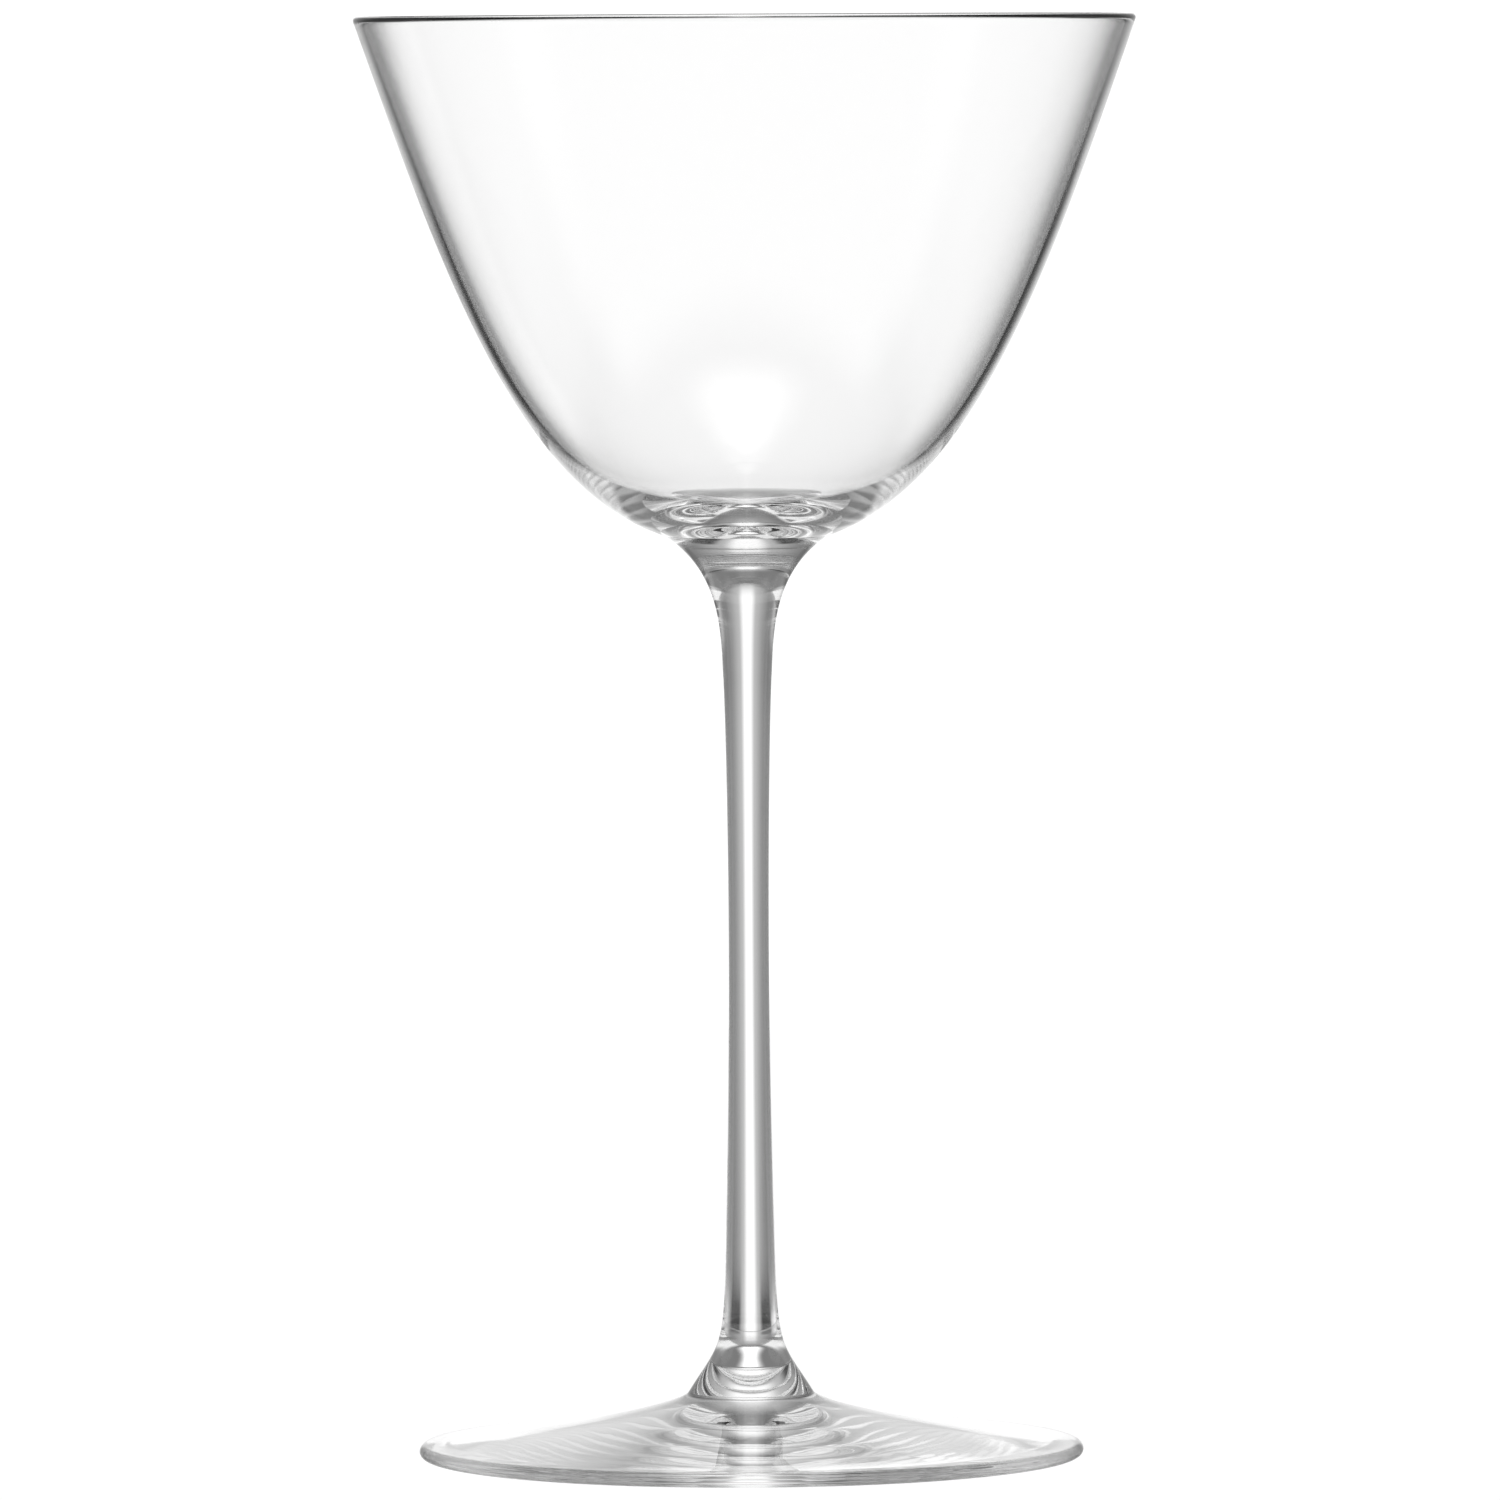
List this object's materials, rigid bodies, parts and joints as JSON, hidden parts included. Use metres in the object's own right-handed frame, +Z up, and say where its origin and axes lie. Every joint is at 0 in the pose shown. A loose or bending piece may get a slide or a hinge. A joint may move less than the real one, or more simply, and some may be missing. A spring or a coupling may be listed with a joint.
{
  "type": "martini glass",
  "caption": "Stemmed martini glass of clear blown glass: a wide flared bowl for a short cold drink, on a slender drawn stem and a round foot.",
  "frame": {"origin": "on the glass's axis, in the plane the foot stands on", "axes": "+Z up along the axis, from the foot to the rim; the glass is a body of revolution, so X and Y are free"},
  "size_m": [0.0996, 0.0996, 0.184],
  "materials": {
    "bowl": "clear, fire-polished",
    "stem": "clear, fire-polished",
    "foot": "clear, fire-polished"
  },
  "bodies": {
    "root": {"bowl": "bowl", "stem": "stem", "foot": "foot"}
  },
  "joints": []
}
